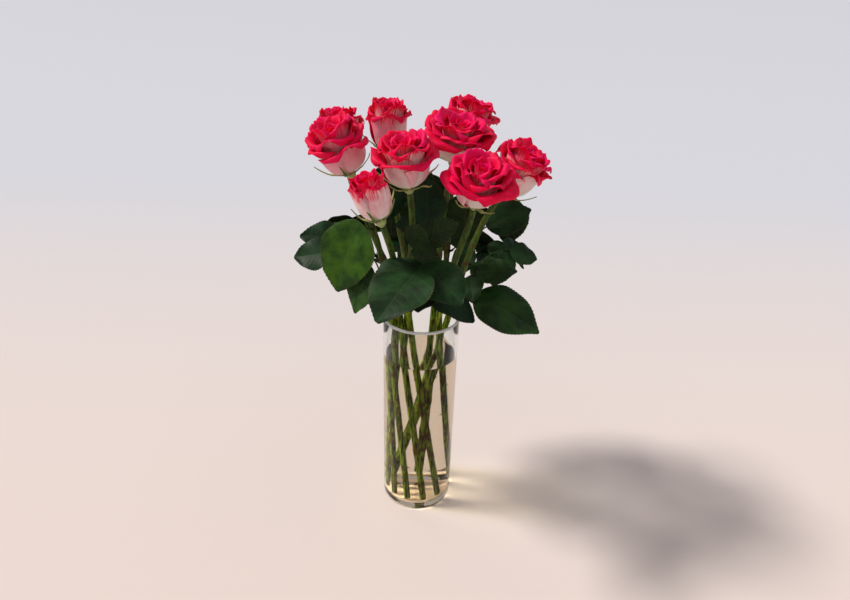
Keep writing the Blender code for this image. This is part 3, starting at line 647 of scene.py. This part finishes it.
def petal(build, rose, order, azimuth, chance):
    """One petal. order is 0 for the outermost and 1 for the innermost."""
    width, height = rose.bloom[0] * BLOOM, rose.bloom[1] * BLOOM
    o = rose.opening
    u = np.linspace(-1, 1, PETAL_COLUMNS)[None]
    v = np.linspace(0, 1, PETAL_ROWS)[:, None]
    outer = 1 - order
    belly = width / 2 * mix(0.92, 0.56, o) * outer ** mix(0.80, 0.90, o) + width * 0.030
    reach = width / 2 * mix(0.96, 0.98, o) * outer ** mix(0.85, 0.90, o) + width * 0.035
    reach = reach * (1 + chance.uniform(-0.10, 0.06) * outer)
    foot = mix(0.0042, 0.0016, order)
    bowl = height * mix(0.48, mix(0.34, 0.54, order), o) * chance.uniform(0.92, 1.08)
    crest = mix(mix(0.84, 0.60, o), mix(0.97, 0.92, o), min(1, order / 0.45))
    crest = crest - 0.13 * o * max(0, order - 0.5) / 0.5
    lip = height * crest * (1 + chance.uniform(-0.09, 0.07) * outer)
    flare = math.radians(mix(mix(30, 66, o) * outer**0.75, 4, order)) * chance.uniform(0.7, 1.3)
    roll = math.radians(mix(45, 64, o) * outer + 8) * chance.uniform(0.4, 1.6)
    side_curl = math.radians(mix(70, 125, o) * outer + 14) * chance.uniform(0.6, 1.4)
    lean = math.radians(mix(-4, mix(8, -18, order), o))

    t = np.clip(v / BOWL_END, 0, 1) * math.pi / 2
    w = np.clip((v - BOWL_END) / (1 - BOWL_END), 0, 1)
    point = mix(mix(0.03, 0.11, o), 0.02, min(1, order / 0.6))
    top = 1 - 0.15 * np.abs(u) ** 3 + point * np.exp(-((np.abs(u) / 0.16) ** 1.4))
    crumple = mix(0.3, 1.0, o)
    top = top + 0.035 * crumple * np.sin(7 * u + chance.uniform(0, 6))
    top = top + 0.020 * crumple * np.sin(15 * u + chance.uniform(0, 6))
    ruffle = 1 + 0.5 * np.sin(u * 3.4 + chance.uniform(0, 6)) * w
    tilt = lean * np.sin(math.pi * w) + flare * w**0.8
    tilt = tilt + (roll + side_curl * np.abs(u) ** 2.0) * ruffle * w**4
    step = np.gradient(w[:, 0])[:, None] * (lip - bowl) * top
    out = np.cumsum(np.sin(tilt) * step, 0) - np.sin(tilt[:1]) * step[:1]
    rise = np.cumsum(np.cos(tilt) * step, 0) - np.cos(tilt[:1]) * step[:1]
    middle = u.shape[1] // 2
    longer = min(2.2, max(0.0005, reach - belly) / max(out[:, middle].max(), 1e-5)) if order < 0.55 else 1.0
    out = out * longer
    rise = rise * (lip - bowl) / rise[:, middle].max()
    radius = foot + (belly - foot) * np.sin(t) ** 0.9 + out
    level = 0.0006 + 0.0014 * order + bowl * (1 - np.cos(t)) + rise

    cover = mix(1.02, 1.6, order) if order < 0.8 else 2.0
    half = max(mix(belly, reach, 0.6 * outer) * cover * chance.uniform(0.93, 1.07), 0.0045)
    shape = 0.22 + 0.78 * np.sin(np.clip(v / 0.68, 0, 1) * math.pi / 2) ** 0.9
    shape = shape * (1 - mix(0.36, 0.24, order) * np.clip((v - 0.62) / 0.38, 0, 1) ** 2.0)
    x = u * half * shape
    round_by = np.maximum(radius[:, middle : middle + 1] * mix(1.08, 1.0, order), 0.0022)
    angle = x / round_by
    far = radius - round_by * (1 - np.cos(angle)) + belly * 0.08 * u
    far = far + 0.0007 * np.sin(5 * u + 3 * v + chance.uniform(0, 6)) * v**2 * mix(1.0, 0.4, order)
    cross = round_by * np.sin(angle)
    level = level + 0.0009 * np.sin(4.5 * u + chance.uniform(0, 6)) * v**3 * mix(1.2, 0.5, order)
    grid = turned_to(azimuth, far, cross, level)
    tone = chance.uniform(0, 0.5) + 0.5 * order
    painted = v ** (mix(0.62, 0.92, o) * chance.uniform(0.82, 1.2))
    build.shell(grid, PETAL_SHEET, u + 0 * v, painted + 0 * u, tone)


def bloom(rose, material, chance):
    """All petals of a rose, as an outer and an inner piece."""
    count = round(mix(14, 23, rose.opening))
    outer_count = round(mix(5, 8, rose.opening))
    outer, inner = Gathered(), Gathered()
    for i in range(count):
        order = i / (count - 1)
        azimuth = GOLDEN * i + chance.uniform(-7, 7)
        petal(outer if i < outer_count else inner, rose, order, azimuth, chance)
    place = hip_frame(rose)
    outer.piece(rose.name + "_outer_petals", material, [rose.name + "_petals"], "petal", place, 180)
    inner.piece(rose.name + "_inner_petals", material, [rose.name + "_heart"], "heart", place, 180)


def sepal_path(rose):
    """(radius, height) along a sepal: up the petals of a bud, or spread under an open bloom."""
    width, height = rose.bloom[0] * BLOOM, rose.bloom[1] * BLOOM
    o = rose.opening
    cup = [(mix(b[0], f[0], o) * width / 2, mix(b[1], f[1], o) * height) for b, f in zip(CUP_BUD, CUP_OPEN)]
    off = 0.0009
    hug = [(HIP_RADIUS * 0.5, -HIP_LENGTH * 0.4), (cup[0][0] * 0.6 + off, cup[0][1] * 0.3 - off)]
    hug += [(cup[0][0] + off, cup[0][1] * 0.95), (cup[1][0] * 0.97 + 2 * off, cup[1][1] * 1.05)]
    spread = [(HIP_RADIUS * 0.5, -HIP_LENGTH * 0.4), (HIP_RADIUS + SEPAL_LENGTH * 0.2, -HIP_LENGTH * 0.45)]
    spread += [(HIP_RADIUS + SEPAL_LENGTH * 0.6, -HIP_LENGTH * 0.25)]
    spread += [(HIP_RADIUS + SEPAL_LENGTH, -HIP_LENGTH * 0.9)]
    share = SEPAL_SPREAD * o
    return [(mix(a[0], b[0], share), mix(a[1], b[1], share)) for a, b in zip(hug, spread)]


def calyx(rose, material, chance):
    """The hip, urn shaped, and five long sepals with thread-like tips."""
    build = Gathered()
    profile = [(0, -HIP_LENGTH), (0.0024, -HIP_LENGTH), (0.0030, -0.0082), (0.0043, -0.0066)]
    profile += [(0.0051, -0.0044), (0.0050, -0.0024), (0.0043, -0.0008), (0.0044, 0.0), (0, 0.0002)]
    turned(build, [(r, z) for r, z in reversed(profile)], 24)
    path = spline(sepal_path(rose), 20)
    steps = np.linspace(0, 1, len(path))
    u = np.linspace(-1, 1, 7)[None]
    for i in range(SEPALS):
        half = SEPAL_WIDTH * 0.50 * (0.8 + 0.9 * steps) * (1 - steps) ** 0.9 + 0.00018
        half = half * (1 + 0.25 * (np.abs(steps - 0.55) < 0.03))
        x = u * half[:, None]
        curl = smooth(0.62, 1.0, steps)[:, None] * chance.uniform(0.0, 0.007)
        far = path[:, :1] + curl + 0.0006 * u**2
        level = path[:, 1:] - curl * chance.uniform(-0.3, 1.0) - 0.12 * np.abs(x)
        x = x + 0.0012 * np.sin(steps * 5 + i)[:, None] * steps[:, None]
        grid = turned_to(360 / SEPALS * (i + 0.5), far, x, level)
        build.shell(grid, SEPAL_SHEET, u + 0 * far, steps[:, None] + 0 * u, chance.uniform(0, 1))
    return build.piece(rose.name + "_sepals", material, [rose.name + "_calyx"], "sepal", hip_frame(rose), 60)


# ---- Leaves ----
def stalk_line(leaf, stems):
    """The leaf's stalk, from its stem to its end leaflet, as a function of 0 to 1."""
    centre, along, radius = stem_at(stems[leaf.rose], MOUTH.z + leaf.start * BLOOM)
    joint, tip = in_bouquet(leaf.joint), in_bouquet(leaf.tip)
    outward = joint - centre
    outward = (outward - along * outward.dot(along)).normalized()
    start = centre + outward * (radius + PETIOLE_RADIUS / 2 + CLEARANCE)
    reach = (joint - start).length
    leaving = (outward + along * 0.6).normalized() * reach
    arriving = (tip - joint).normalized() * reach
    return lambda s: hermite(start, leaving, joint, arriving, s), outward


def leaflets(leaf, at):
    """(base, direction, normal, length) of the end leaflet, then of each side leaflet."""
    joint, tip = in_bouquet(leaf.joint), in_bouquet(leaf.tip)
    places = [(joint, tip - joint, 0, 1.0)]
    for pair in range(leaf.pairs):
        for hand in (1, -1):
            share = SIDE_LEAFLETS_AT - SIDE_LEAFLETS_APART * pair + 0.02 * hand
            places.append((at(share), at(share + 0.02) - at(share - 0.02), hand, SIDE_LEAFLET_SHARE))
    found = []
    for base, ahead, hand, size in places:
        ahead = ahead.normalized()
        level = ahead.cross(Vector((0, 0, 1))).normalized()
        if hand:
            ahead = Matrix.Rotation(math.radians(-SIDE_LEAFLET_PITCH), 3, level) @ ahead
        normal = Matrix.Rotation(math.radians(leaf.roll), 3, ahead) @ level.cross(ahead)
        along = Matrix.Rotation(math.radians(SIDE_LEAFLET_SWING * hand), 3, normal) @ ahead
        found.append((base, along, normal, (tip - joint).length * size))
    return found


def blade(build, place, tone, chance):
    """One leaflet: saw-toothed, folded at the midrib, quilted between its side veins."""
    base, along, normal, length = place
    side = normal.cross(along).normalized()
    base, along, normal, side = (np.array(a) for a in (base, along, normal, side))
    teeth = round(length / TOOTH)
    u = np.linspace(-1, 1, 17)[None]
    v = np.linspace(0, 1, 4 * teeth + 1)[:, None]
    half = length * LEAFLET_WIDTH_SHARE / 2
    shape = np.sin(math.pi * v**0.80) ** 0.74 * (1 - 0.22 * smooth(0.78, 1.0, v)) + 0.02
    saw = np.mod(v * teeth, 1.0)
    edge = smooth(0.80, 1.0, np.abs(u))
    x = u * half * shape * (1 + 0.045 * (saw - 0.4) * edge)
    y = length * (v + 0.010 * saw * edge)
    away = np.abs(u)
    lift = half * shape * (0.20 * away**1.25)
    veins = np.cos(2 * math.pi * SIDE_VEINS * (v - VEIN_SLANT * away**1.25))
    lift = lift + 0.00009 * veins * smooth(0.05, 0.3, away) * (1 - 0.5 * away)
    wave = chance.uniform(0, 6)
    lift = lift + 0.0011 * np.sin(2 * math.pi * 2.1 * v + wave + u) * away**2 * smooth(0, 0.3, v)
    lift = lift - length * 0.12 * v**2 - length * 0.05 * away**2.5 * shape
    bend = length * 0.05 * math.sin(wave) * v**2
    twist = 0.12 * math.cos(wave) * v
    lift = lift + twist * x
    x = x + bend
    grid = base + y[..., None] * along + x[..., None] * side + lift[..., None] * normal
    build.shell(grid, BLADE_SHEET, u + 0 * v, v + 0 * u, tone)
    rib = grid[::4, 8] - normal * 0.0003
    build.tube(rib[:-1], np.linspace(0.00075, 0.00018, len(rib) - 1), 8, tone=tone, side=1.0)


def leaf_look(leaf, stems, material, chance):
    """A compound leaf: a stalk with stipules at its foot, and its leaflets."""
    at, outward = stalk_line(leaf, stems)
    build = Gathered()
    steps = np.linspace(0, 1, 26)
    line = np.array([tuple(at(s)) for s in steps])
    line[0] = line[0] - np.array(outward) * 0.0014
    radii = PETIOLE_RADIUS * (0.78 + 0.9 * np.exp(-steps * 22) - 0.12 * steps)
    build.tube(line, radii, 10, tone=leaf.shine * 0.5 + 0.3, side=1.0)
    for hand in (1, -1):
        stipule(build, at, outward, hand, leaf.shine)
    for place in leaflets(leaf, at):
        blade(build, place, leaf.shine, chance)
    return build.piece(leaf.name + "_blades", material, [leaf.name], "leaf", crease=70)


def stipule(build, at, outward, hand, tone):
    """One of the two narrow wings on the foot of a stalk."""
    steps = np.linspace(0, 1, 9)[:, None]
    u = np.linspace(-1, 1, 4)[None]
    base = np.array([tuple(at(0.02 + 0.16 * s)) for s in steps[:, 0]])[:, None]
    ahead = np.array(at(0.2) - at(0.0))
    side = unit(np.cross(ahead, outward)) * hand
    half = 0.0013 * np.sin(math.pi * steps**0.7) + 0.0002
    spread = 0.0010 + 0.0022 * steps**3
    grid = base + side * (spread + half * u)[..., None]
    grid = grid if hand > 0 else grid[:, ::-1]
    build.shell(grid, STIPULE_SHEET, u + 0 * steps, steps + 0 * u, tone)


# ---- Floor, light and camera ----
def studio():
    """A pale floor that rises gently far behind, a soft key from the left and a weak fill."""
    level = np.linspace(FLOOR_FRONT, FLOOR_RISES_FROM, 6)
    rising = np.linspace(FLOOR_RISES_FROM + 0.4, FLOOR_BACK, 22)
    rows = [(y, 0.9 * (max(0.0, y - FLOOR_RISES_FROM) / 6.0) ** 2) for y in np.concatenate([level, rising])]
    points = [(x, y, z) for y, z in rows for x in (-FLOOR_HALF_WIDTH, FLOOR_HALF_WIDTH)]
    faces = [(2 * i, 2 * i + 1, 2 * i + 3, 2 * i + 2) for i in range(len(rows) - 1)]
    mesh = bpy.data.meshes.new("sweep")
    mesh.from_pydata(points, [], faces)
    mesh.shade_smooth()
    n = Nodes("sweep_look")
    far = n.add("ShaderNodeSeparateXYZ", {0: n.place()}).outputs["Y"]
    n.set(Base_Color=n.colour(n.step(far, -0.3, 1.6), rgb(228, 214, 208), rgb(208, 210, 218)), Roughness=0.9)
    n.set(Specular_IOR_Level=0.1)
    mesh.materials.append(n.material)
    sweep = bpy.data.objects.new("sweep", mesh)
    bpy.context.scene.collection.objects.link(sweep)

    light = bpy.data.lights.new("key", "SUN")
    light.energy, light.angle, light.color = 2.75, math.radians(11), rgb(255, 250, 244)[:3]
    key = bpy.data.objects.new("key", light)
    shines_along = polar(SUN_AZIMUTH, -1.0, -math.tan(math.radians(SUN_HEIGHT)))
    key.rotation_euler = shines_along.to_track_quat("-Z", "Y").to_euler()
    light.cycles.use_multiple_importance_sampling = False  # no sun disc seen in the glass
    bpy.context.scene.collection.objects.link(key)
    world = bpy.data.worlds.new("studio")
    world.use_nodes = True
    world.node_tree.nodes["Background"].inputs["Color"].default_value = rgb(226, 224, 226)
    world.node_tree.nodes["Background"].inputs["Strength"].default_value = 0.56
    bpy.context.scene.world = world


def camera():
    """Looks down on the front of the bouquet, with a slight roll."""
    data = bpy.data.cameras.new("camera")
    data.sensor_width = 36.0
    data.lens = CAMERA_LENS
    data.clip_start = 0.01
    made = bpy.data.objects.new("camera", data)
    pitch, yaw, roll = (math.radians(turn) for turn in (CAMERA_PITCH, CAMERA_YAW, CAMERA_ROLL))
    made.matrix_world = (
        Matrix.Translation(CAMERA_PLACE)
        @ Matrix.Rotation(-yaw, 4, "Z")
        @ Matrix.Rotation(math.pi / 2 - pitch, 4, "X")
        @ Matrix.Rotation(roll, 4, "Z")
    )
    bpy.context.scene.collection.objects.link(made)
    bpy.context.scene.camera = made


def build_object():
    bark, green, skin = stem_material(), leaf_material(), petal_material()
    sepals = sepal_material()
    stems = {rose.name: stem_points(rose) for rose in ROSES}
    vase()
    water()
    for number, rose in enumerate(ROSES):
        chance = np.random.default_rng(100 + number)
        starts = [leaf.start for leaf in LEAVES if leaf.rose == rose.name]
        stem(rose, stems[rose.name], starts, bark, chance)
        calyx(rose, sepals, chance)
        bloom(rose, skin, chance)
    for number, leaf in enumerate(LEAVES):
        leaf_look(leaf, stems, green, np.random.default_rng(300 + number))


camera()
studio()
build_object()
bpy.context.scene.view_settings.view_transform = "Standard"
